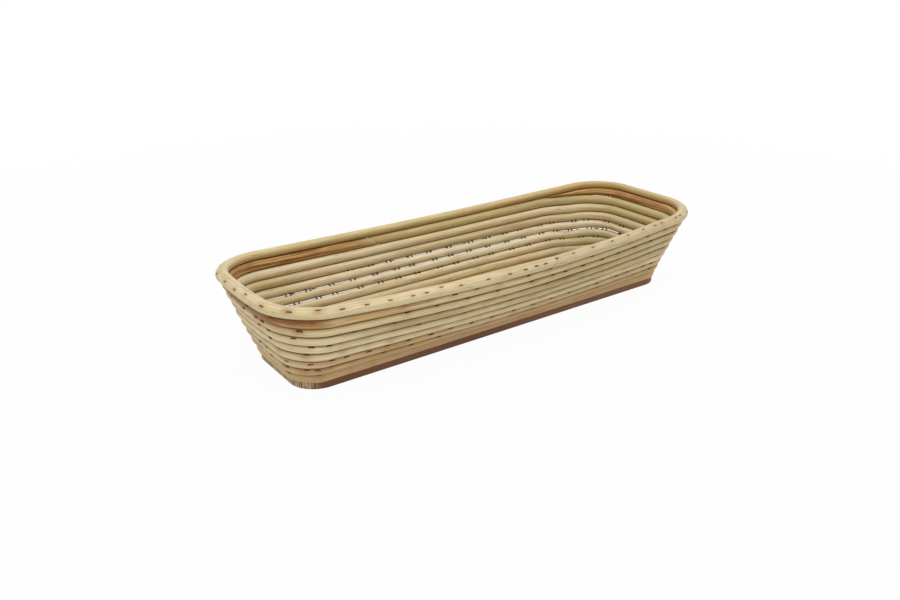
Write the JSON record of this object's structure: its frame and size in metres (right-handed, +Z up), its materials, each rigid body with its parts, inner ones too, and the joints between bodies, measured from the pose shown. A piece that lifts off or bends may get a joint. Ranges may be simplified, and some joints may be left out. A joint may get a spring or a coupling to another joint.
{
  "type": "proofing basket",
  "caption": "Long rectangular proofing basket of round cane wound up from a wooden base board, each turn stapled to the one below, with an oval rim hoop",
  "frame": {"origin": "middle of the underside of the base board", "axes": "+X along the basket's length, +Y to its far wall, +Z up out of the mouth"},
  "size_m": [0.4199, 0.1562, 0.0735],
  "materials": {
    "board": "brown wood, sawn edges, end grain at the short ends",
    "cane": "peeled straw-coloured cane with fine lengthwise grain",
    "brown_cane": "peeled cane streaked reddish brown",
    "rim": "peeled pale cane with fine lengthwise grain",
    "staples": "dark browned steel wire"
  },
  "bodies": {
    "root": {"base_board": "board", "lower_cane": "cane", "middle_cane": "cane", "upper_cane": "brown_cane", "rim_cane": "rim", "staples_turn_1": "staples", "staples_turn_2": "staples", "staples_turn_3": "staples", "staples_turn_4": "staples", "staples_turn_5": "staples", "staples_turn_6": "staples", "staples_turn_7": "staples", "staples_turn_8": "staples", "rim_staples": "staples"}
  },
  "joints": []
}
